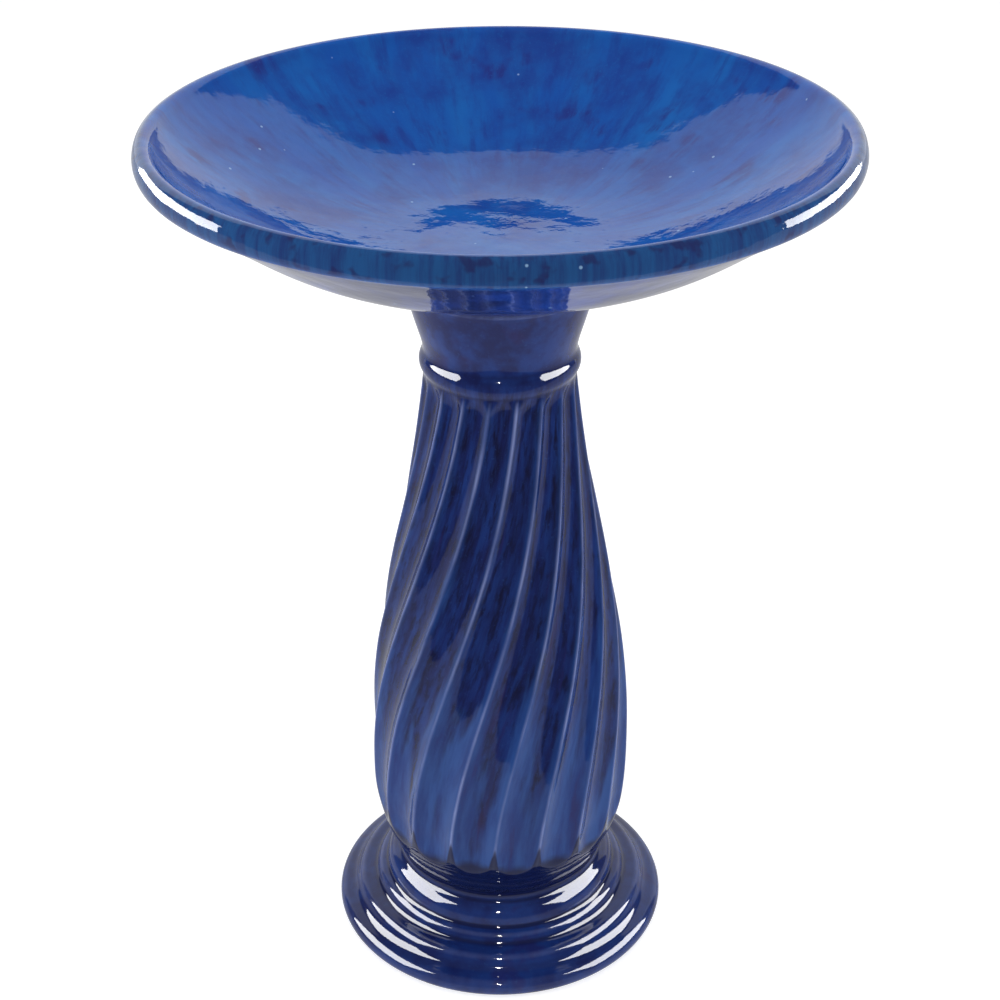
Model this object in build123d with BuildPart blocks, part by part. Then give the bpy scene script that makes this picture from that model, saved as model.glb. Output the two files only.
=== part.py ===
from build123d import *
import math
import os

# Glazed stoneware bird bath: a hollow fluted pedestal, a loose soft seat ring and a lift-off bowl.
# Millimetres. The axis is Z and the pedestal's foot ring stands on Z = 0. Outlines are (radius, height).

# Bowl
BOWL_R = 254.0
RIM_Z = 669.5
RIM_CREST = (247.0, 684.1)
RIM_INNER = (240.0, 678.5)
RIM_UNDER = (246.0, 662.6)
FLOOR_Z = 599.0
FLOOR_FLAT_R = 60.0
SEAT_R = 74.0
SEAT_Z = 571.3
SPIGOT_R = 51.5
SPIGOT_INNER_R = 40.0
SPIGOT_LOW_Z = 553.0
SPIGOT_EDGE = 2.5
RECESS_Z = 583.0

# Pedestal
BASE_R = 136.7
FOOT_R = 130.0
FOOT_INNER_R = 119.0
COLLAR_R = 60.4
COLLAR_LOW = (56.8, 496.0)
COLLAR_HIGH = (57.2, 512.5)
LIP_R = 71.5
LIP_Z = 568.0
BORE_R = 53.5
BORE_LOW_Z = 548.0
SHAFT = [(88.0, 71.0), (99.4, 100.0), (104.6, 145.0), (99.0, 250.0), (81.5, 350.0), (62.8, 450.0), COLLAR_LOW]

# Twisted flutes
FLUTES = 18
FLUTE_LOW_Z = 95.0
FLUTE_HIGH_Z = 494.5
FLUTE_LOW_RAMP = 27.0
FLUTE_HIGH_RAMP = 13.0
FLUTE_LIFT = 0.4
FLUTE_TWIST = 56.0
FLUTE_START = -83.2
FLUTE_HALF_ANGLE = 9.4
FLUTE_STATIONS = 18

# Soft ring that the bowl sits on
RING_INNER_R = 56.0
RING_OUTER_R = 67.5
RING_LOW_Z = 568.2
RING_HIGH_Z = 571.0
RING_EDGE = 0.8


def full_depth(ridge_r):
    """Depth of a flute under its ridges away from its ends."""
    return 2.0 + 0.0385 * ridge_r


def flute_depth(ridge_r, height):
    """Depth of a flute under its ridges, with both ends ramped so that they are round arches."""
    low_left = max(0.0, 1.0 - (height - FLUTE_LOW_Z) / FLUTE_LOW_RAMP)
    high_left = max(0.0, 1.0 - (FLUTE_HIGH_Z - height) / FLUTE_HIGH_RAMP)
    ramp_left = max(low_left, high_left)
    return full_depth(ridge_r) * (1.0 - ramp_left**2) - FLUTE_LIFT * ramp_left


def cutter_radius(ridge_r):
    """Radius of the round cutter that is one flute wide when it is sunk to the full depth."""
    root = ridge_r - full_depth(ridge_r)
    chord = ridge_r * math.cos(math.radians(FLUTE_HALF_ANGLE))
    return (root**2 + ridge_r**2 - 2 * root * chord) / (2 * (chord - root))


def twist_angle(share):
    """Polar angle of a flute's middle at a share of the flutes' height, slow at the foot."""
    return FLUTE_START + FLUTE_TWIST * (0.12 * share + 2.0 * share**2 - 1.12 * share**3)


def flute_station(number):
    """Centre angle, centre radius, height and size of one round section of the flute cutter."""
    share = (1 - math.cos(math.pi * number / FLUTE_STATIONS)) / 2
    height = FLUTE_LOW_Z + share * (FLUTE_HIGH_Z - FLUTE_LOW_Z)
    ridge_r = shaft.intersect(Line((0, height), (2 * BASE_R, height)))[0].X
    size = cutter_radius(ridge_r)
    centre_r = ridge_r + size - flute_depth(ridge_r, height)
    return twist_angle(share), centre_r, height, size


os.makedirs("parts", exist_ok=True)

# The pedestal's outline runs from the foot ring up over three base rings, the bulb, the collar and the
# flared lip, and comes back down the inside.
with BuildPart() as pedestal:
    with BuildSketch(Plane.XZ):
        with BuildLine():
            foot = Line((FOOT_INNER_R, 0), (FOOT_R, 0))
            foot_roll = ThreePointArc(foot @ 1, (BASE_R, 7.5), (128.5, 16.4))
            low_cove = ThreePointArc(foot_roll @ 1, (123.2, 18.6), (120.2, 22.6))
            low_bead = ThreePointArc(low_cove @ 1, (118.0, 26.6), (113.5, 28.2))
            low_step = Line(low_bead @ 1, (107.5, 28.6))
            mid_cove = ThreePointArc(low_step @ 1, (104.8, 29.8), (103.6, 32.0))
            mid_bead = ThreePointArc(mid_cove @ 1, (101.8, 36.0), (98.0, 37.6))
            mid_step = Line(mid_bead @ 1, (96.5, 38.0))
            top_cove = ThreePointArc(mid_step @ 1, (95.3, 38.8), (94.9, 40.2))
            top_roll = ThreePointArc(top_cove @ 1, (92.6, 50.4), (85.0, 55.6))
            waist = ThreePointArc(top_roll @ 1, (83.6, 62.5), SHAFT[0])
            shaft = Spline(*SHAFT)
            collar = ThreePointArc(shaft @ 1, (COLLAR_R, 504.2), COLLAR_HIGH)
            neck = Spline(collar @ 1, (60.6, 529.0), (LIP_R - 1.3, 563.0), tangents=((0, 1), (0.27, 1)))
            lip = ThreePointArc(neck @ 1, (LIP_R, 566.3), (LIP_R - 2.2, LIP_Z))
            lip_top = Line(lip @ 1, (BORE_R, LIP_Z))
            bore = Line(lip_top @ 1, (BORE_R, BORE_LOW_Z))
            throat = Spline(bore @ 1, (46.3, 508.0), (48.0, 465.0), tangents=((0, -1), (0.15, -1)))
            inside = Spline(throat @ 1, (83.0, 270.0), (89.5, 140.0), (75.0, 62.0), tangents=((0.15, -1), (-0.2, -1)))
            inside_foot = Spline(inside @ 1, (92.0, 25.0), foot @ 0, tangents=((-0.2, -1), (1, -0.6)))
        make_face()
    revolve(axis=Axis.Z)

# One flute's cutter: round sections in level planes, each turned a little further round the shaft.
with BuildPart() as flute_cutter:
    for number in range(FLUTE_STATIONS + 1):
        angle, centre_r, height, size = flute_station(number)
        with BuildSketch(Plane.XY.offset(height)):
            with PolarLocations(centre_r, 1, start_angle=angle):
                Circle(size)
    loft()

with pedestal:
    with PolarLocations(0, FLUTES):
        add(flute_cutter.part, mode=Mode.SUBTRACT)

# The bowl's outline runs along the inside from the middle of the floor, over the rolled rim and back
# under the bowl to the flat seat, the spigot that drops into the pedestal and the recess inside it.
with BuildPart() as bowl:
    with BuildSketch(Plane.XZ):
        with BuildLine():
            floor = Line((0, FLOOR_Z), (FLOOR_FLAT_R, FLOOR_Z))
            inner_wall = Spline(
                floor @ 1, (104.0, 603.2), (150.0, 616.3), (200.0, 643.5), RIM_INNER, tangents=((1, 0), (0.7, 1))
            )
            rim_roll = ThreePointArc(inner_wall @ 1, (242.6, 682.6), RIM_CREST)
            rim_edge = ThreePointArc(rim_roll @ 1, (251.0, 681.8), (253.0, 677.5))
            rim_face = ThreePointArc(rim_edge @ 1, (BOWL_R, RIM_Z), (252.8, 666.0))
            rim_foot = ThreePointArc(rim_face @ 1, (250.6, 663.4), RIM_UNDER)
            underside = Spline(
                rim_foot @ 1, (218.0, 642.6), (181.0, 617.2), (129.0, 594.0), (SEAT_R, SEAT_Z),
                tangents=((-1, -0.8), (-1, -0.3)),
            )
            seat = Line(underside @ 1, (SPIGOT_R, SEAT_Z))
            spigot_side = Line(seat @ 1, (SPIGOT_R, SPIGOT_LOW_Z))
            spigot_foot = Line(spigot_side @ 1, (SPIGOT_INNER_R, SPIGOT_LOW_Z))
            recess_side = Line(spigot_foot @ 1, (SPIGOT_INNER_R, RECESS_Z))
            recess = Line(recess_side @ 1, (0, RECESS_Z))
            Line(recess @ 1, floor @ 0)
        make_face()
    revolve(axis=Axis.Z)
    fillet(bowl.edges().filter_by(GeomType.CIRCLE).group_by(Axis.Z)[0], SPIGOT_EDGE)

with BuildPart() as seat_ring:
    with BuildSketch(Plane.XY.offset(RING_LOW_Z)):
        Circle(RING_OUTER_R)
        Circle(RING_INNER_R, mode=Mode.SUBTRACT)
    extrude(amount=RING_HIGH_Z - RING_LOW_Z)
    fillet(seat_ring.edges(), RING_EDGE)

bowl.part.label = "bowl"
pedestal.part.label = "pedestal"
seat_ring.part.label = "seat_ring"

export_step(bowl.part, "parts/bowl.step")
export_step(pedestal.part, "parts/pedestal.step")
export_step(seat_ring.part, "parts/seat_ring.step")
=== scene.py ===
import math

import bpy
import numpy as np
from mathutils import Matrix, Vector


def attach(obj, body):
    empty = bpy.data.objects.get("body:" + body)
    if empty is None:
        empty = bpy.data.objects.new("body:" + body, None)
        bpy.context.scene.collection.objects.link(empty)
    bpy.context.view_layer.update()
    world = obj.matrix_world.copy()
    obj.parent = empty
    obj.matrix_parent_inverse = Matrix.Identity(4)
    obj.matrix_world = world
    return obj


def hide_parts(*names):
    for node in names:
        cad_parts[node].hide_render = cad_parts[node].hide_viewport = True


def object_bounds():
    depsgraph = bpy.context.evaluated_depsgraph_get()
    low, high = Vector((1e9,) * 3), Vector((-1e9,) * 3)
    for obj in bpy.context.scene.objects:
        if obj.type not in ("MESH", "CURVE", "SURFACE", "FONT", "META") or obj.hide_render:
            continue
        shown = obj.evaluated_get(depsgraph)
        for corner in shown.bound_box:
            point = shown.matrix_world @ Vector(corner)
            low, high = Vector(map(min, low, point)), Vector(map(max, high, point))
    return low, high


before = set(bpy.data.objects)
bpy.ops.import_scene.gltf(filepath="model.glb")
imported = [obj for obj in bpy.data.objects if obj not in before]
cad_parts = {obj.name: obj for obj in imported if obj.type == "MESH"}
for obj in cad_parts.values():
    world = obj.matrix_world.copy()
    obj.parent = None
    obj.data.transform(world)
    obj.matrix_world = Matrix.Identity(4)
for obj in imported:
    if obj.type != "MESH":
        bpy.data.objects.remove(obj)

# Glazed stoneware bird bath. Outlines are (radius, height) in millimetres, as in the CAD model, and
# become metres when a mesh is made. The axis is Z and the pedestal stands on Z = 0.
cad_low, cad_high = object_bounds()
MM = 0.001

# Bowl
BOWL_R = 254.0
RIM_Z = 669.5
RIM_CREST = (247.0, 684.1)
RIM_INNER = (240.0, 678.5)
RIM_UNDER = (246.0, 662.6)
FLOOR_Z = 599.0
FLOOR_FLAT_R = 60.0
SEAT_R = 74.0
SEAT_Z = 571.3
SPIGOT_R = 51.5
SPIGOT_INNER_R = 40.0
SPIGOT_LOW_Z = 553.0
RECESS_Z = 583.0

# Pedestal
BASE_R = 136.7
FOOT_R = 130.0
FOOT_INNER_R = 119.0
COLLAR_R = 60.4
COLLAR_LOW = (56.8, 496.0)
COLLAR_HIGH = (57.2, 512.5)
LIP_R = 71.5
LIP_Z = 568.0
BORE_R = 53.5
BORE_LOW_Z = 548.0
SHAFT = [(88.0, 71.0), (99.4, 100.0), (104.6, 145.0), (99.0, 250.0), (81.5, 350.0), (62.8, 450.0),
         COLLAR_LOW]

# Twisted flutes
FLUTES = 18
FLUTE_COLUMNS = 18
FLUTE_DEPTH = 2.0
FLUTE_DEPTH_SLOPE = 0.0385
FLUTE_LOW_Z = 95.0
FLUTE_HIGH_Z = 494.5
FLUTE_LOW_RAMP = 27.0
FLUTE_HIGH_RAMP = 13.0
FLUTE_LIFT = 0.4
FLUTE_TWIST = 56.0
FLUTE_START = -83.2
FLUTE_HALF_ANGLE = 9.4
RAMP_END = 1.2
NO_CUT = -4.0
RIDGE_SOFTNESS = 0.6

# Mesh spacing
OUTSIDE_STEP = 1.5
INSIDE_STEP = 5.0
BOWL_STEP = 1.8
BOWL_COLUMNS = 360
AXIS_HOLE_R = 0.4

# Hand-made unevenness, which leaves the foot and the seat flat
PEDESTAL_SEED = 3
BOWL_SEED = 5
FLAT_FOOT_Z = 1.5
WAVE_START_Z = 2.0
WAVE_FULL_Z = 22.0
SEAT_MARGIN = 4.0
WAVE_DEPTH = 0.35
WAVE_TURNS = (2, 3, 5, 8)
WAVE_LENGTHS = (45.0, 70.0, 130.0)
RIM_DROP = 1.1
UNDER_BLEND = 8.0

# Glaze colours are linear
COBALT = (0.008, 0.085, 0.40, 1)
TURQUOISE = (0.010, 0.13, 0.46, 1)
ULTRAMARINE = (0.012, 0.045, 0.27, 1)
PURPLE = (0.020, 0.018, 0.17, 1)
RIM_TEAL = (0.013, 0.075, 0.23, 1)
RIM_NAVY = (0.012, 0.036, 0.15, 1)
RIM_SPOT = (0.014, 0.018, 0.09, 1)
UNDERSIDE = (0.012, 0.022, 0.10, 1)
PINHOLE = (0.30, 0.50, 0.75, 1)
DEEP_NAVY = (0.006, 0.012, 0.085, 1)
DEEP_BLUE = (0.009, 0.032, 0.170, 1)
DEEP_INK = (0.004, 0.006, 0.040, 1)
DEEP_PURPLE = (0.018, 0.009, 0.075, 1)
BELLY_BLUE = (0.019, 0.066, 0.245, 1)
BASE_NAVY = (0.008, 0.016, 0.10, 1)
BASE_BLUE = (0.011, 0.036, 0.18, 1)
LAVENDER = (0.36, 0.42, 0.75, 1)
CLAY_PALE = (0.52, 0.38, 0.26, 1)
CLAY_DARK = (0.40, 0.27, 0.17, 1)
CLAY_GRAIN = (0.20, 0.12, 0.07, 1)
RUBBER = (0.010, 0.010, 0.011, 1)
RUBBER_DUST = (0.030, 0.028, 0.026, 1)
GLAZE_ROUGH = (0.03, 0.07)
GLAZE_IOR = 1.43
CLAY_ROUGH = 0.85
BOWL_RELIEF = 0.0008
PEDESTAL_RELIEF = 0.0003

# Where the bowl's glaze changes: radii and heights in metres
RAYS_START = (0.03, 0.11)
BLOTS_START = (0.10, 0.17)
RIM_FACE_R = (0.2445, 0.2490)
RIM_FACE_Z = (0.655, 0.668)

# Where the pedestal's glaze and its painted shade change: heights in metres
SHAFT_START = (0.06, 0.10)
SHAFT_END = (0.515, 0.49)
DRIP_ENDS = (0.23, 0.33)
BASE_EDGE = (0.066, 0.058)
BAND_TOP = (0.107, 0.098)
BAND_START = (0.058, 0.062)
BAND_WAVE = 0.02
BAND_NOTCH = 0.020
MIDDLE_DRIP = 0.09

# The flutes' pale ridges, partly thin glaze and partly painted highlight: distances from the crest in
# millimetres
RIDGE_WIDTH = (0.2, 2.6)
RIDGE_WANDER = 1.1
RIDGE_PALE = 0.55
RIDGE_GLOW = 5.0
NOTCH_WIDTH = 4.5
FLUTE_MIDDLE = (2.0, 11.0)

# Camera: the reach and the aim are shares of the CAD model's height
LENS = 70
SENSOR = 36
PITCH = math.radians(29.01)
REACH = 2.186
AIM = 0.5594

# Stage, in metres apart from the surround's mesh, which is in millimetres
STAGE_HALF = 6
FLOOR_COLOUR = (0.55, 0.55, 0.55, 1)
FLOOR_LIGHT = 0.76
MIRROR_NEAR = -0.54
MIRROR_Z = -0.001
MIRROR_COLOUR = (0.2, 0.2, 0.2, 1)
MIRROR_LIGHT = 0.42
SURROUND_R = 5500.0
SURROUND_LOW_Z = -10.0
SURROUND_COLUMNS = 48
LIGHT_DISTANCE = 2.2

# Studio: the backdrop's edges are slopes seen from the bird bath, lights are radiances
BACKDROP_TOP = 1.54
BACKDROP_SIDE = 1.3
BACKDROP_BLUR = 0.06
BACKDROP_LIGHT = (1.15, 1.15, 1.15, 1)
ROOM_LIGHT = (0.16, 0.16, 0.17, 1)


def arc(start, through, end, count=8):
    """Points of the circular arc from start through a middle point to end."""
    (ax, ay), (bx, by), (cx, cy) = start, through, end
    turn = 2 * (ax * (by - cy) + bx * (cy - ay) + cx * (ay - by))
    a2, b2, c2 = ax**2 + ay**2, bx**2 + by**2, cx**2 + cy**2
    centre = np.array([a2 * (by - cy) + b2 * (cy - ay) + c2 * (ay - by),
                       a2 * (cx - bx) + b2 * (ax - cx) + c2 * (bx - ax)]) / turn
    angles = [math.atan2(y - centre[1], x - centre[0]) for x, y in (start, through, end)]
    angles = np.unwrap(angles)
    size = math.hypot(ax - centre[0], ay - centre[1])
    steps = np.interp(np.linspace(0, 2, count), [0, 1, 2], angles)
    return [(centre[0] + size * math.cos(t), centre[1] + size * math.sin(t)) for t in steps]


def spline(points, count, start=None, end=None):
    """Points of a smooth cubic curve through the given ones, with optional end directions."""
    p = np.array(points, float)
    t = np.concatenate([[0.0], np.cumsum(np.hypot(*np.diff(p, axis=0).T))])
    h = np.diff(t)
    n = len(p)
    rows = np.zeros((n, n))
    right = np.zeros((n, 2))
    for i in range(1, n - 1):
        rows[i, i - 1: i + 2] = h[i], 2 * (h[i - 1] + h[i]), h[i - 1]
        right[i] = 3 * (h[i] * (p[i] - p[i - 1]) / h[i - 1] + h[i - 1] * (p[i + 1] - p[i]) / h[i])
    for row, near, direction, step in ((0, 1, start, h[0]), (n - 1, n - 2, end, h[-1])):
        if direction is None:
            rows[row, row], rows[row, near] = 2, 1
            right[row] = 3 * (p[max(row, near)] - p[min(row, near)]) / step
        else:
            rows[row, row] = 1
            right[row] = np.array(direction) / np.hypot(*direction)
    slopes = np.linalg.solve(rows, right)
    out = []
    for value in np.linspace(0, t[-1], count):
        i = min(np.searchsorted(t, value, side="right") - 1, n - 2)
        u = (value - t[i]) / h[i]
        out.append(tuple((1 + 2 * u) * (1 - u) ** 2 * p[i] + u * (1 - u) ** 2 * h[i] * slopes[i]
                         + u * u * (3 - 2 * u) * p[i + 1] + u * u * (u - 1) * h[i] * slopes[i + 1]))
    return out


def join(*stretches):
    """One outline from stretches that meet end to end."""
    outline = list(stretches[0])
    for stretch in stretches[1:]:
        outline.extend(stretch[1:])
    return outline


def line(start, end, count=2):
    """Evenly spaced points of a straight line."""
    return [tuple(p) for p in np.linspace(start, end, count)]


def soften(outline, passes, flat_z=-math.inf):
    """Glaze rounds corners off: each pass moves the points above flat_z towards their neighbours."""
    p = np.array(outline)
    moves = p[1:-1, 1] > flat_z
    for _ in range(passes):
        middle = (p[:-2] + p[2:]) / 2
        p[1:-1][moves] += 0.5 * (middle - p[1:-1])[moves]
    return p


def even(outline, spacing):
    """The outline again with evenly spaced points."""
    p = np.array(outline)
    t = np.concatenate([[0.0], np.cumsum(np.hypot(*np.diff(p, axis=0).T))])
    steps = np.linspace(0, t[-1], max(2, int(round(t[-1] / spacing)) + 1))
    return np.column_stack([np.interp(steps, t, p[:, 0]), np.interp(steps, t, p[:, 1])])


def pedestal_outside():
    """The pedestal's glazed side, from the foot ring up to the lip."""
    low_roll = arc((FOOT_R, 0), (BASE_R, 7.5), (128.5, 16.4), 18)
    low_cove = arc((128.5, 16.4), (123.2, 18.6), (120.2, 22.6))
    low_bead = arc((120.2, 22.6), (118.0, 26.6), (113.5, 28.2))
    low_step = line((113.5, 28.2), (107.5, 28.6))
    mid_cove = arc((107.5, 28.6), (104.8, 29.8), (103.6, 32.0))
    mid_bead = arc((103.6, 32.0), (101.8, 36.0), (98.0, 37.6))
    mid_step = line((98.0, 37.6), (96.5, 38.0))
    top_cove = arc((96.5, 38.0), (95.3, 38.8), (94.9, 40.2))
    top_roll = arc((94.9, 40.2), (92.6, 50.4), (85.0, 55.6), 14)
    waist = arc((85.0, 55.6), (83.6, 62.5), SHAFT[0], 10)
    shaft = spline(SHAFT, 240)
    collar = arc(COLLAR_LOW, (COLLAR_R, 504.2), COLLAR_HIGH, 16)
    neck = spline([COLLAR_HIGH, (60.6, 529.0), (LIP_R - 1.3, 563.0)], 30, (0, 1), (0.27, 1))
    lip = arc((LIP_R - 1.3, 563.0), (LIP_R, 566.3), (LIP_R - 2.2, LIP_Z), 10)
    return join(low_roll, low_cove, low_bead, low_step, mid_cove, mid_bead, mid_step, top_cove, top_roll,
                waist, shaft, collar, neck, lip)


def pedestal_inside():
    """The pedestal's unglazed side, from the lip down the hollow to the foot ring."""
    lip_top = line((LIP_R - 2.2, LIP_Z), (BORE_R, LIP_Z), 4)
    bore = line((BORE_R, LIP_Z), (BORE_R, BORE_LOW_Z), 5)
    throat = spline([(BORE_R, BORE_LOW_Z), (46.3, 508.0), (48.0, 465.0)], 14, (0, -1), (0.15, -1))
    hollow = spline([(48.0, 465.0), (83.0, 270.0), (89.5, 140.0), (75.0, 62.0)], 40,
                    (0.15, -1), (-0.2, -1))
    foot = spline([(75.0, 62.0), (92.0, 25.0), (FOOT_INNER_R, 0)], 14, (-0.2, -1), (1, -0.6))
    return join(lip_top, bore, throat, hollow, foot, line((FOOT_INNER_R, 0), (FOOT_R, 0), 4))


def bowl_outline():
    """The whole bowl, from the middle of its underside over the rim to the middle of its floor."""
    floor = line((AXIS_HOLE_R, FLOOR_Z), (FLOOR_FLAT_R, FLOOR_Z), 8)
    wall = spline([(FLOOR_FLAT_R, FLOOR_Z), (104.0, 603.2), (150.0, 616.3), (200.0, 643.5), RIM_INNER], 90,
                  (1, 0), (0.7, 1))
    roll = arc(RIM_INNER, (242.6, 682.6), RIM_CREST, 10)
    edge = arc(RIM_CREST, (251.0, 681.8), (253.0, 677.5), 10)
    face = arc((253.0, 677.5), (BOWL_R, RIM_Z), (252.8, 666.0), 10)
    foot = arc((252.8, 666.0), (250.6, 663.4), RIM_UNDER, 8)
    under = spline([RIM_UNDER, (218.0, 642.6), (181.0, 617.2), (129.0, 594.0), (SEAT_R, SEAT_Z)], 70,
                   (-1, -0.8), (-1, -0.3))
    seat = line((SEAT_R, SEAT_Z), (SPIGOT_R, SEAT_Z), 6)
    spigot = line((SPIGOT_R, SEAT_Z), (SPIGOT_R, SPIGOT_LOW_Z), 5)
    spigot_foot = line((SPIGOT_R, SPIGOT_LOW_Z), (SPIGOT_INNER_R, SPIGOT_LOW_Z), 4)
    recess = join(line((SPIGOT_INNER_R, SPIGOT_LOW_Z), (SPIGOT_INNER_R, RECESS_Z), 5),
                  line((SPIGOT_INNER_R, RECESS_Z), (AXIS_HOLE_R, RECESS_Z), 6))
    return join(floor, wall, roll, edge, face, foot, under, seat, spigot, spigot_foot, recess)[::-1]


def nearest(outline, point):
    """The index of the outline's point that lies nearest to a given one."""
    return np.argmin(np.hypot(outline[:, 0] - point[0], outline[:, 1] - point[1]))


def twist_share(share):
    """Share of the whole twist that is reached at a share of the flutes' height."""
    return 0.12 * share + 2.0 * share**2 - 1.12 * share**3


def flute_cut(outline, offsets):
    """Depth of the flutes in mm, one row for each outline point and one column for each angle offset."""
    ridge_r = outline[:, 0][:, None]
    height = outline[:, 1][:, None]
    full = FLUTE_DEPTH + FLUTE_DEPTH_SLOPE * ridge_r
    low_left = 1.0 - (height - FLUTE_LOW_Z) / FLUTE_LOW_RAMP
    high_left = 1.0 - (FLUTE_HIGH_Z - height) / FLUTE_HIGH_RAMP
    ramp_left = np.clip(np.maximum(low_left, high_left), 0.0, RAMP_END)
    depth = full * (1.0 - ramp_left**2) - FLUTE_LIFT * ramp_left
    root = ridge_r - full
    chord = ridge_r * math.cos(math.radians(FLUTE_HALF_ANGLE))
    size = (root**2 + ridge_r**2 - 2 * root * chord) / (2 * (chord - root))
    centre = ridge_r + size - depth
    across = centre * np.sin(offsets)[None, :]
    inside = np.sqrt(np.maximum(size**2 - across**2, 0.0))
    cut = ridge_r - (centre * np.cos(offsets)[None, :] - inside)
    cut = np.where(ramp_left < RAMP_END, cut, NO_CUT)
    return RIDGE_SOFTNESS * np.logaddexp(0.0, cut / RIDGE_SOFTNESS)


def ring_mesh(name, radii, heights, angles, attributes=(), ends="open"):
    """A mesh of rings: radii and heights in mm and angles, each with a row for each ring.

    The two end rings are left open, capped, or joined to each other.
    """
    rings, columns = radii.shape
    x = radii * np.cos(angles) * MM
    y = radii * np.sin(angles) * MM
    z = np.broadcast_to(heights * MM, radii.shape)
    points = np.stack([x, y, z], axis=-1).reshape(-1, 3)
    bands = rings if ends == "joined" else rings - 1
    ring, column = np.meshgrid(np.arange(bands), np.arange(columns), indexing="ij")
    above = (ring + 1) % rings
    beside = (column + 1) % columns
    faces = np.stack([ring * columns + column, ring * columns + beside,
                      above * columns + beside, above * columns + column], axis=-1).reshape(-1, 4).tolist()
    if ends == "capped":
        last = (rings - 1) * columns
        faces.append(list(range(columns))[::-1])
        faces.append(list(range(last, last + columns)))
    mesh = bpy.data.meshes.new(name)
    mesh.from_pydata(points.tolist(), [], faces)
    for label, values in attributes:
        layer = mesh.attributes.new(label, "FLOAT", "POINT")
        layer.data.foreach_set("value", np.broadcast_to(values, radii.shape).astype(np.float32).ravel())
    mesh.shade_smooth()
    piece = bpy.data.objects.new(name, mesh)
    bpy.context.collection.objects.link(piece)
    return piece


def convexity(outline):
    """How sharply an outline turns outwards at each point, per mm."""
    before = outline[1:-1] - outline[:-2]
    after = outline[2:] - outline[1:-1]
    turn = before[:, 0] * after[:, 1] - before[:, 1] * after[:, 0]
    bend = turn / (np.hypot(*before.T) * np.hypot(*after.T) * np.hypot(*((before + after) / 2).T) + 1e-9)
    return np.concatenate([[bend[0]], bend, [bend[-1]]])


def unevenness(angles, heights, seed):
    """Gentle seeded waves between 0 and 1 over a surface, as on thrown ware."""
    random = np.random.default_rng(seed)
    total = np.zeros(np.broadcast(angles, heights).shape)
    for turns in WAVE_TURNS:
        for length in WAVE_LENGTHS:
            phase, slant = random.uniform(0, 2 * math.pi), random.choice([-1, 1])
            total += np.sin(slant * turns * angles + 2 * math.pi * heights / length + phase)
    return 0.5 + 0.5 * total / (len(WAVE_TURNS) * len(WAVE_LENGTHS))


def make_pedestal():
    """The pedestal's glazed outside and plain inside in one closed mesh whose columns follow the flutes."""
    outside = soften(even(pedestal_outside(), OUTSIDE_STEP), 3, FLAT_FOOT_Z)
    inside = even(pedestal_inside(), INSIDE_STEP)
    outline = np.concatenate([outside, inside[1:-1]])
    heights = outline[:, 1][:, None]
    share = np.clip((outline[:, 1] - FLUTE_LOW_Z) / (FLUTE_HIGH_Z - FLUTE_LOW_Z), 0.0, 1.0)
    twist = np.radians(FLUTE_START + FLUTE_TWIST * twist_share(share))
    half_pitch = math.pi / FLUTES
    in_flute = half_pitch * np.sin(np.linspace(-0.5, 0.5, FLUTE_COLUMNS + 1)[:-1] * math.pi)
    offsets = np.concatenate([in_flute + 2 * half_pitch * flute for flute in range(FLUTES)])
    near = np.tile(in_flute, FLUTES)
    glazed = (np.arange(len(outline)) < len(outside))[:, None]
    cut = flute_cut(outline, near) * glazed
    angles = twist[:, None] + offsets[None, :]
    above_foot = np.clip((heights - WAVE_START_Z) / (WAVE_FULL_Z - WAVE_START_Z), 0.0, 1.0)
    waves = WAVE_DEPTH * unevenness(angles, heights, PEDESTAL_SEED) * glazed * above_foot
    radii = outline[:, 0][:, None] - cut - waves
    crest_gap = outline[:, 0][:, None] * (half_pitch - np.abs(near))[None, :]
    fluted = np.clip(flute_cut(outline, np.zeros(1)) / 4.0, 0.0, 1.0)
    bend = np.zeros(len(outline))
    bend[: len(outside)] = convexity(outside)
    attributes = [("crest_gap", crest_gap), ("fluted", fluted), ("bend", bend[:, None]),
                  ("flow_x", np.cos(offsets)[None, :]), ("flow_y", np.sin(offsets)[None, :]),
                  ("glazed", glazed * np.ones_like(radii))]
    return ring_mesh("pedestal_glazed", radii, heights, angles, attributes, "joined")


def make_bowl():
    """The bowl as one closed skin of rings, a little uneven as thrown ware is."""
    outline = soften(even(bowl_outline(), BOWL_STEP), 2)
    radius = outline[:, 0][:, None]
    heights = outline[:, 1][:, None]
    angles = np.linspace(0, 2 * math.pi, BOWL_COLUMNS, endpoint=False)[None, :]
    off_seat = (heights > SEAT_Z + SEAT_MARGIN) & (radius > 2.5 * AXIS_HOLE_R)
    waves = WAVE_DEPTH * unevenness(angles, radius, BOWL_SEED) * off_seat
    waved_r = SEAT_R + SEAT_MARGIN
    share = np.clip((radius - waved_r) / (BOWL_R - waved_r), 0.0, 1.0)
    drop = RIM_DROP * (1.0 - np.cos(angles)) * share
    radii = radius - waves * share
    glazed = np.arange(len(outline)) > nearest(outline, (SEAT_R, SEAT_Z))
    length = np.concatenate([[0.0], np.cumsum(np.hypot(*np.diff(outline, axis=0).T))])
    under = np.clip((length[nearest(outline, RIM_UNDER)] - length) / UNDER_BLEND, 0.0, 1.0)
    attributes = [("glazed", glazed[:, None]), ("under", under[:, None])]
    return ring_mesh("bowl_glazed", radii, heights - drop - waves, angles, attributes, "capped")


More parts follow.
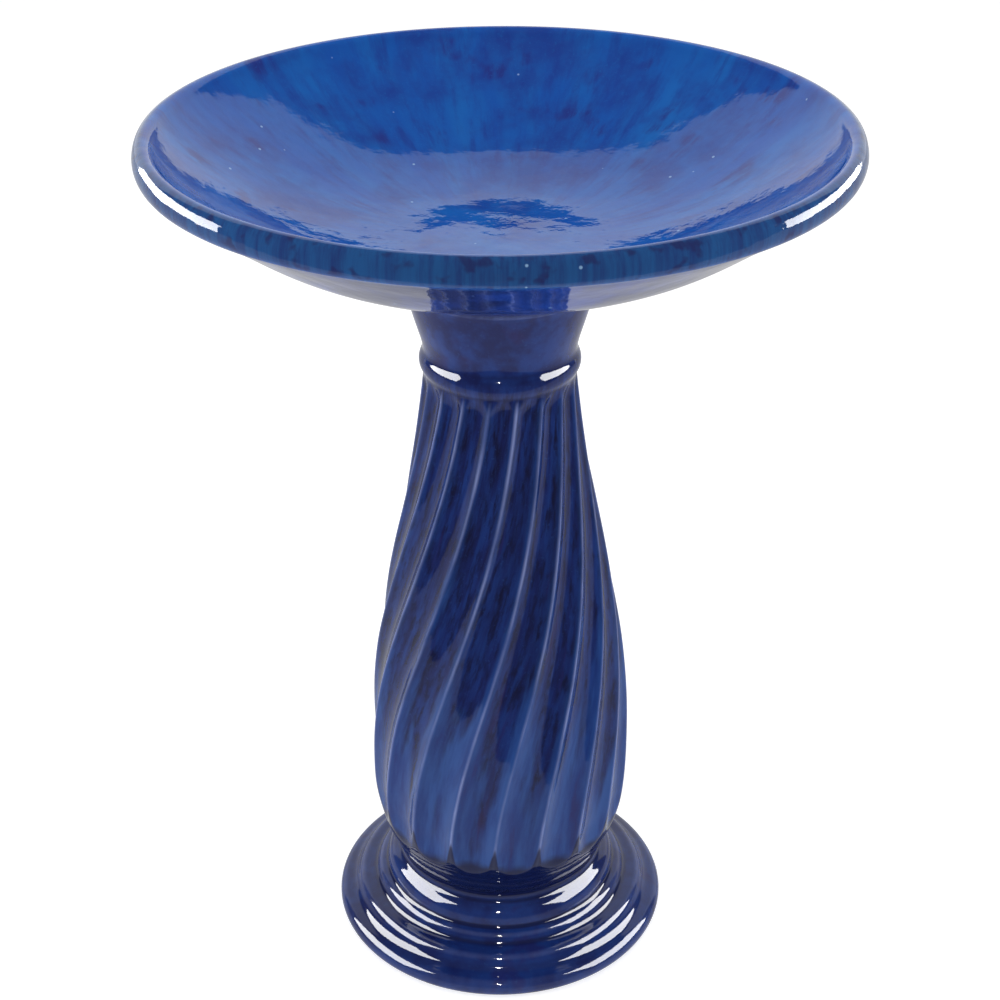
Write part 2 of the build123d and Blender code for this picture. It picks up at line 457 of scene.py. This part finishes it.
class Graph:
    """Short names for building a node tree."""

    def __init__(self, tree):
        self.tree = tree

    def put(self, socket, value):
        """A link when the value is an output, else a constant."""
        if isinstance(value, bpy.types.NodeSocket):
            self.tree.links.new(value, socket)
        else:
            socket.default_value = value

    def add(self, kind, inputs=None, **settings):
        """A new node with its settings and inputs."""
        node = self.tree.nodes.new(kind)
        for key, value in settings.items():
            setattr(node, key, value)
        for key, value in (inputs or {}).items():
            self.put(node.inputs[key], value)
        return node

    def math(self, operation, first, second=0.0):
        """One operation on one or two numbers."""
        return self.add("ShaderNodeMath", {0: first, 1: second}, operation=operation).outputs[0]

    def times(self, first, second):
        """The product of two numbers."""
        return self.math("MULTIPLY", first, second)

    def plus(self, first, second):
        """The sum of two numbers."""
        return self.math("ADD", first, second)

    def place(self):
        """The point on the piece, in its own coordinates in metres."""
        return self.add("ShaderNodeTexCoord").outputs["Object"]

    def split(self, vector):
        """A vector's three numbers."""
        return self.add("ShaderNodeSeparateXYZ", {0: vector}).outputs

    def smooth(self, value, low, high):
        """0 at low and below, 1 at high and beyond, with a soft step between."""
        node = self.add("ShaderNodeMapRange", {"Value": value, "From Min": low, "From Max": high},
                        interpolation_type="SMOOTHSTEP")
        return node.outputs[0]

    def span(self, value, low, high):
        """The value, which runs from 0 to 1, stretched over another span."""
        return self.add("ShaderNodeMapRange", {"Value": value, "To Min": low, "To Max": high}).outputs[0]

    def mix(self, share, first, second):
        """The first number at share 0 and the second at share 1."""
        return self.add("ShaderNodeMix", {0: share, 2: first, 3: second}, data_type="FLOAT").outputs[0]

    def join(self, x, y, z):
        """A vector from three numbers."""
        return self.add("ShaderNodeCombineXYZ", {0: x, 1: y, 2: z}).outputs[0]

    def noise(self, vector, scale, detail, roughness):
        """Noise between 0 and 1, with so many cells per unit of the vector."""
        node = self.add("ShaderNodeTexNoise", {"Vector": vector, "Scale": scale, "Detail": detail,
                                               "Roughness": roughness})
        return node.outputs[0]

    def attribute(self, name):
        """A number that the mesh holds for each point."""
        return self.add("ShaderNodeAttribute", attribute_name=name).outputs["Fac"]

    def blend(self, share, first, second):
        """The first colour at share 0 and the second at share 1."""
        node = self.add("ShaderNodeMix", data_type="RGBA")
        for index, value in ((0, share), (6, first), (7, second)):
            self.put(node.inputs[index], value)
        return node.outputs[2]


def new_material(name):
    """A material, its node graph and its shader."""
    material = bpy.data.materials.new(name)
    material.use_nodes = True
    return material, Graph(material.node_tree), material.node_tree.nodes["Principled BSDF"]


def clay(graph, place):
    """Bare fired clay: a sandy colour with darker grains."""
    grain = graph.noise(place, 900.0, 4.0, 0.7)
    patch = graph.noise(place, 30.0, 3.0, 0.6)
    colour = graph.blend(patch, CLAY_DARK, CLAY_PALE)
    return graph.blend(graph.smooth(grain, 0.58, 0.72), colour, CLAY_GRAIN)


def finish_glaze(graph, shader, colour, relief, depth):
    """Glaze over bare clay: its colour, its gloss with tiny flaws, and its relief."""
    place = graph.place()
    glazed = graph.attribute("glazed")
    graph.put(shader.inputs["Base Color"], graph.blend(glazed, clay(graph, place), colour))
    flaw = graph.noise(place, 260.0, 3.0, 0.6)
    gloss = graph.add("ShaderNodeMapRange", {"Value": flaw, "From Min": 0.3, "From Max": 0.8,
                                             "To Min": GLAZE_ROUGH[0], "To Max": GLAZE_ROUGH[1]}).outputs[0]
    graph.put(shader.inputs["Roughness"], graph.mix(glazed, CLAY_ROUGH, gloss))
    shader.inputs["IOR"].default_value = GLAZE_IOR
    bump = graph.add("ShaderNodeBump", {"Height": relief, "Distance": depth, "Strength": 1.0})
    graph.put(shader.inputs["Normal"], bump.outputs[0])


def bowl_glaze():
    """Cobalt glaze that ran towards the middle: rays, purple blotches and pale pinholes."""
    material, graph, shader = new_material("bowl_glaze")
    place = graph.place()
    x, y, z = graph.split(place)
    radius = graph.math("SQRT", graph.plus(graph.times(x, x), graph.times(y, y)))

    # Rays run along the radius; near the middle plain noise takes over
    safe = graph.math("MAXIMUM", radius, 0.01)
    ray_x = graph.math("DIVIDE", x, safe)
    ray_y = graph.math("DIVIDE", y, safe)
    rays = graph.join(ray_x, ray_y, graph.times(radius, 1.6))
    fine = graph.noise(rays, 17.0, 4.0, 0.65)
    cloud = graph.noise(place, 16.0, 4.0, 0.6)
    outer = graph.smooth(radius, *RAYS_START)
    broad = graph.mix(outer, graph.noise(place, 26.0, 4.0, 0.6), graph.noise(rays, 5.0, 3.0, 0.6))
    speckle = graph.noise(place, 420.0, 2.0, 0.6)
    colour = graph.blend(graph.smooth(broad, 0.3, 0.75), COBALT, TURQUOISE)
    ray_strength = graph.times(outer, 0.8)
    colour = graph.blend(graph.times(graph.smooth(fine, 0.42, 0.78), ray_strength), colour, ULTRAMARINE)
    colour = graph.blend(graph.times(graph.smooth(cloud, 0.42, 0.7), 0.85), colour, ULTRAMARINE)

    # Violet blotches on the wall and a fine pale grain
    blot = graph.noise(place, 34.0, 2.0, 0.5)
    streak_blot = graph.times(graph.smooth(blot, 0.56, 0.72), graph.smooth(fine, 0.35, 0.6))
    upper = graph.smooth(radius, *BLOTS_START)
    colour = graph.blend(graph.times(graph.times(streak_blot, upper), 0.6), colour, PURPLE)
    colour = graph.blend(graph.times(graph.smooth(speckle, 0.55, 0.8), 0.35), colour, TURQUOISE)

    # The rim's face and the underside
    side = graph.times(graph.smooth(radius, *RIM_FACE_R), graph.smooth(z, *RIM_FACE_Z))
    edge_ray = graph.noise(rays, 30.0, 4.0, 0.75)
    edge = graph.blend(graph.smooth(edge_ray, 0.35, 0.7), RIM_TEAL, RIM_NAVY)
    edge_spot = graph.noise(place, 95.0, 2.0, 0.5)
    edge = graph.blend(graph.times(graph.smooth(edge_spot, 0.54, 0.7), 0.75), edge, RIM_SPOT)
    colour = graph.blend(side, colour, edge)
    below = graph.blend(graph.smooth(cloud, 0.4, 0.65), UNDERSIDE, ULTRAMARINE)
    colour = graph.blend(graph.attribute("under"), colour, below)

    # Pinholes in a fifth of the cells
    holes = graph.add("ShaderNodeTexVoronoi", {"Vector": place, "Scale": 62.0})
    chosen = graph.math("GREATER_THAN", graph.split(holes.outputs["Color"])[0], 0.8)
    dot = graph.times(graph.smooth(holes.outputs["Distance"], 0.085, 0.045), chosen)
    colour = graph.blend(graph.times(dot, 0.7), colour, PINHOLE)
    peel = graph.noise(place, 70.0, 3.0, 0.55)
    ripple = graph.noise(place, 22.0, 2.0, 0.5)
    relief = graph.plus(graph.times(peel, 0.35), ripple)
    finish_glaze(graph, shader, colour, relief, BOWL_RELIEF)
    return material


def pedestal_glaze():
    """Deep blue glaze that ran down the flutes, pale on the ridges where it thinned and where a highlight
    is painted, with painted shade around the foot of the flutes.
    """
    material, graph, shader = new_material("pedestal_glaze")
    place = graph.place()
    x, y, z = graph.split(place)
    flow_x, flow_y = graph.attribute("flow_x"), graph.attribute("flow_y")
    flow = graph.join(flow_x, flow_y, graph.times(z, 3.0))
    long_flow = graph.join(flow_x, flow_y, graph.times(z, 1.5))
    shaft = graph.times(graph.smooth(z, *SHAFT_START), graph.smooth(z, *SHAFT_END))
    cloud = graph.mix(shaft, graph.noise(place, 26.0, 3.0, 0.6), graph.noise(long_flow, 8.0, 4.0, 0.6))
    broad = graph.mix(shaft, graph.noise(place, 50.0, 3.0, 0.6), graph.noise(long_flow, 12.0, 4.0, 0.6))
    fine = graph.noise(flow, 17.0, 3.0, 0.6)
    speckle = graph.noise(place, 420.0, 2.0, 0.6)

    # Thick dark glaze ran down over the thin glaze, and further in the middle of each flute
    thick = graph.blend(graph.smooth(broad, 0.35, 0.68), DEEP_NAVY, DEEP_BLUE)
    thick = graph.blend(graph.times(graph.smooth(fine, 0.42, 0.7), shaft), thick, DEEP_INK)
    thin = graph.blend(graph.smooth(cloud, 0.35, 0.62), BELLY_BLUE, DEEP_BLUE)
    crest_gap = graph.attribute("crest_gap")
    middle = graph.smooth(crest_gap, *FLUTE_MIDDLE)
    run = graph.times(graph.math("SUBTRACT", graph.noise(long_flow, 5.0, 4.0, 0.6), 0.5), 0.5)
    level = graph.plus(graph.plus(z, run), graph.times(middle, MIDDLE_DRIP))
    colour = graph.blend(graph.smooth(level, *DRIP_ENDS), thin, thick)
    base = graph.blend(graph.smooth(cloud, 0.35, 0.65), BASE_NAVY, BASE_BLUE)
    colour = graph.blend(graph.smooth(z, *BASE_EDGE), colour, base)
    colour = graph.blend(graph.times(graph.smooth(cloud, 0.58, 0.72), 0.5), colour, DEEP_PURPLE)
    colour = graph.blend(graph.times(graph.smooth(speckle, 0.58, 0.8), 0.3), colour, BELLY_BLUE)

    # Pale ridges, partly where the glaze is thin and partly a painted highlight along each crest, with a
    # soft painted glow of lighter blue beside each crest
    fluted = graph.attribute("fluted")
    wander = graph.times(graph.noise(flow, 9.0, 3.0, 0.6), RIDGE_WANDER)
    gap = graph.plus(crest_gap, wander)
    # Painted highlight: a soft lighter blue glow on each side of the crest
    glow = graph.times(graph.smooth(crest_gap, RIDGE_GLOW, 0.0), fluted)
    colour = graph.blend(graph.times(glow, 0.45), colour, BELLY_BLUE)
    crest = graph.times(graph.smooth(gap, RIDGE_WIDTH[1], RIDGE_WIDTH[0]), fluted)
    # How pale each crest is painted: thin glaze and painted highlight together, varied along the ridge
    crest_thin_glaze_and_highlight = graph.span(graph.smooth(graph.noise(flow, 3.0, 3.0, 0.6), 0.35, 0.65), 0.12, RIDGE_PALE)
    colour = graph.blend(graph.times(crest, crest_thin_glaze_and_highlight), colour, LAVENDER)

    # Glaze pools in the hollows between the rings and thins on their edges
    bend = graph.attribute("bend")
    pooled = graph.smooth(bend, -0.04, -0.25)
    colour = graph.blend(graph.times(pooled, 0.8), colour, DEEP_INK)
    edge = graph.smooth(bend, 0.06, 0.30)
    colour = graph.blend(graph.times(graph.times(edge, broad), 0.35), colour, LAVENDER)

    # A darker band around the foot of the flutes: painted shade below the flute ends, reaching higher up
    # along each ridge
    wave = graph.times(graph.math("SUBTRACT", graph.noise(place, 30.0, 3.0, 0.6), 0.5), BAND_WAVE)
    notch = graph.times(graph.smooth(crest_gap, NOTCH_WIDTH, 0.0), BAND_NOTCH)
    band_z = graph.math("SUBTRACT", graph.plus(z, wave), notch)
    # Painted shade: strength of the dark band below the flute ends
    band = graph.times(graph.smooth(band_z, *BAND_TOP), graph.smooth(z, *BAND_START))
    colour = graph.blend(graph.times(band, 0.92), colour, DEEP_INK)
    peel = graph.noise(place, 70.0, 3.0, 0.55)
    ripple = graph.noise(place, 22.0, 2.0, 0.5)
    relief = graph.plus(graph.times(peel, 0.5), ripple)
    finish_glaze(graph, shader, colour, relief, PEDESTAL_RELIEF)
    return material


def rubber():
    """Black rubber with a fine grain and dust."""
    material, graph, shader = new_material("seat_rubber")
    place = graph.place()
    dust = graph.smooth(graph.noise(place, 120.0, 4.0, 0.7), 0.5, 0.8)
    graph.put(shader.inputs["Base Color"], graph.blend(dust, RUBBER, RUBBER_DUST))
    bump = graph.add("ShaderNodeBump", {"Height": graph.noise(place, 1500.0, 2.0, 0.5), "Distance": 0.0002})
    graph.put(shader.inputs["Normal"], bump.outputs[0])
    shader.inputs["Roughness"].default_value = 0.62
    return material


def make_camera():
    """The camera, aimed at a point on the axis a little above the middle."""
    height = cad_high[2] - cad_low[2]
    data = bpy.data.cameras.new("camera")
    data.lens = LENS
    data.sensor_width = SENSOR
    camera = bpy.data.objects.new("camera", data)
    bpy.context.collection.objects.link(camera)
    reach = REACH * height
    aim = AIM * height
    camera.location = (0, -reach * math.cos(PITCH), aim + reach * math.sin(PITCH))
    camera.rotation_euler = (math.pi / 2 - PITCH, 0, 0)
    bpy.context.scene.camera = camera


def glow(shader, strength):
    """White light from the surface itself."""
    shader.inputs["Emission Color"].default_value = (1, 1, 1, 1)
    shader.inputs["Emission Strength"].default_value = strength


def make_floor(name, near, height, colour, light):
    """A level plane that carries on behind the bird bath; its light is its own glow."""
    mesh = bpy.data.meshes.new(name)
    corners = [(-STAGE_HALF, near, height), (STAGE_HALF, near, height),
               (STAGE_HALF, STAGE_HALF, height), (-STAGE_HALF, STAGE_HALF, height)]
    mesh.from_pydata(corners, [], [(0, 1, 2, 3)])
    material, graph, shader = new_material(name)
    shade = graph.noise(graph.place(), 3.0, 2.0, 0.5)
    graph.put(shader.inputs["Base Color"], graph.blend(shade, colour, [0.96 * part for part in colour]))
    shader.inputs["Roughness"].default_value = 0.8
    glow(shader, light)
    mesh.materials.append(material)
    piece = bpy.data.objects.new(name, mesh)
    bpy.context.collection.objects.link(piece)
    return piece


def make_floors():
    """The floor that the camera sees, and the dimmer one that the glaze mirrors."""
    floor = make_floor("floor", -STAGE_HALF, 0.0, FLOOR_COLOUR, FLOOR_LIGHT)
    floor.visible_glossy = False
    mirror_floor = make_floor("mirror_floor", MIRROR_NEAR, MIRROR_Z, MIRROR_COLOUR, MIRROR_LIGHT)
    mirror_floor.visible_camera = False
    mirror_floor.visible_diffuse = False


def make_surround():
    """A pale sweep around the stage for the views from other sides; the glaze doesn't mirror it."""
    angles = np.linspace(0, 2 * math.pi, SURROUND_COLUMNS, endpoint=False)[None, :]
    radii = np.full((2, SURROUND_COLUMNS), SURROUND_R)
    piece = ring_mesh("surround", radii, np.array([[SURROUND_LOW_Z], [SURROUND_R]]), angles)
    material, _, shader = new_material("surround")
    shader.inputs["Base Color"].default_value = (0, 0, 0, 1)
    glow(shader, 1.0)
    piece.data.materials.append(material)
    piece.visible_glossy = False
    piece.visible_diffuse = False
    piece.visible_shadow = False


def studio_world():
    """A pale backdrop behind the bird bath with a dim room around it."""
    world = bpy.data.worlds.new("studio")
    world.use_nodes = True
    graph = Graph(world.node_tree)
    direction = graph.add("ShaderNodeTexCoord").outputs["Generated"]
    x, y, z = graph.split(direction)
    depth = graph.math("MAXIMUM", y, 0.001)
    up = graph.math("DIVIDE", z, depth)
    across = graph.math("DIVIDE", graph.math("ABSOLUTE", x), depth)
    below_top = graph.smooth(up, BACKDROP_TOP + BACKDROP_BLUR, BACKDROP_TOP - BACKDROP_BLUR)
    within = graph.smooth(across, BACKDROP_SIDE + BACKDROP_BLUR, BACKDROP_SIDE - BACKDROP_BLUR)
    radiance = graph.blend(graph.times(below_top, within), ROOM_LIGHT, BACKDROP_LIGHT)
    graph.put(world.node_tree.nodes["Background"].inputs["Color"], radiance)
    bpy.context.scene.world = world


def softbox(name, azimuth, rise, size, power, aim_z, distance=LIGHT_DISTANCE):
    """A soft area light; its azimuth runs from behind the bird bath to +X."""
    data = bpy.data.lights.new(name, "AREA")
    data.shape = "RECTANGLE"
    data.size, data.size_y = size
    data.energy = power
    lamp = bpy.data.objects.new(name, data)
    bpy.context.collection.objects.link(lamp)
    turn, lift = math.radians(azimuth), math.radians(rise)
    level = math.cos(lift)
    offset = Vector((math.sin(turn) * level, math.cos(turn) * level, math.sin(lift))) * distance
    lamp.location = offset + Vector((0, 0, aim_z))
    lamp.rotation_euler = offset.to_track_quat("Z", "Y").to_euler()
    return lamp


def make_streak_lights(pedestal, bowl):
    """Lights that only draw streaks in the glaze, each on one piece."""
    streaks = [(softbox("rim_left", -69, 4, (1.95, 0.75), 75, 0.66), bowl),
               (softbox("rim_right", 69, 4, (1.95, 0.7), 64, 0.66), bowl),
               (softbox("base_left", -94, 34, (2.1, 1.6), 215, 0.05), pedestal),
               (softbox("base_right", 94, 34, (2.1, 1.6), 215, 0.05), pedestal),
               (softbox("front_lamp", 181, 32, (0.07, 0.07), 14, 0.3, 1.9), pedestal)]
    for lamp, piece in streaks:
        lit = bpy.data.collections.new(lamp.name + "_lights")
        lit.objects.link(piece)
        lamp.light_linking.receiver_collection = lit
        lamp.visible_diffuse = False


def make_fill_lights():
    """Lights that brighten the colours and leave no streaks."""
    fills = [softbox("overhead", 180, 80, (1.6, 1.6), 33, 0.6),
             softbox("fill_left", -104, 12, (1.2, 1.2), 20, 0.3, 2.0),
             softbox("fill_right", 104, 12, (1.2, 1.2), 17, 0.3, 2.0)]
    for lamp in fills:
        lamp.visible_glossy = False


pedestal = make_pedestal()
pedestal.data.materials.append(pedestal_glaze())
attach(pedestal, "pedestal")
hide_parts("pedestal")

bowl = make_bowl()
bowl.data.materials.append(bowl_glaze())
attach(bowl, "bowl")
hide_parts("bowl")

ring_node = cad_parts["seat_ring"]
ring_node.data.materials.clear()
ring_node.data.materials.append(rubber())

make_camera()
make_floors()
make_surround()
studio_world()
make_streak_lights(pedestal, bowl)
make_fill_lights()
bpy.context.scene.view_settings.view_transform = "Standard"
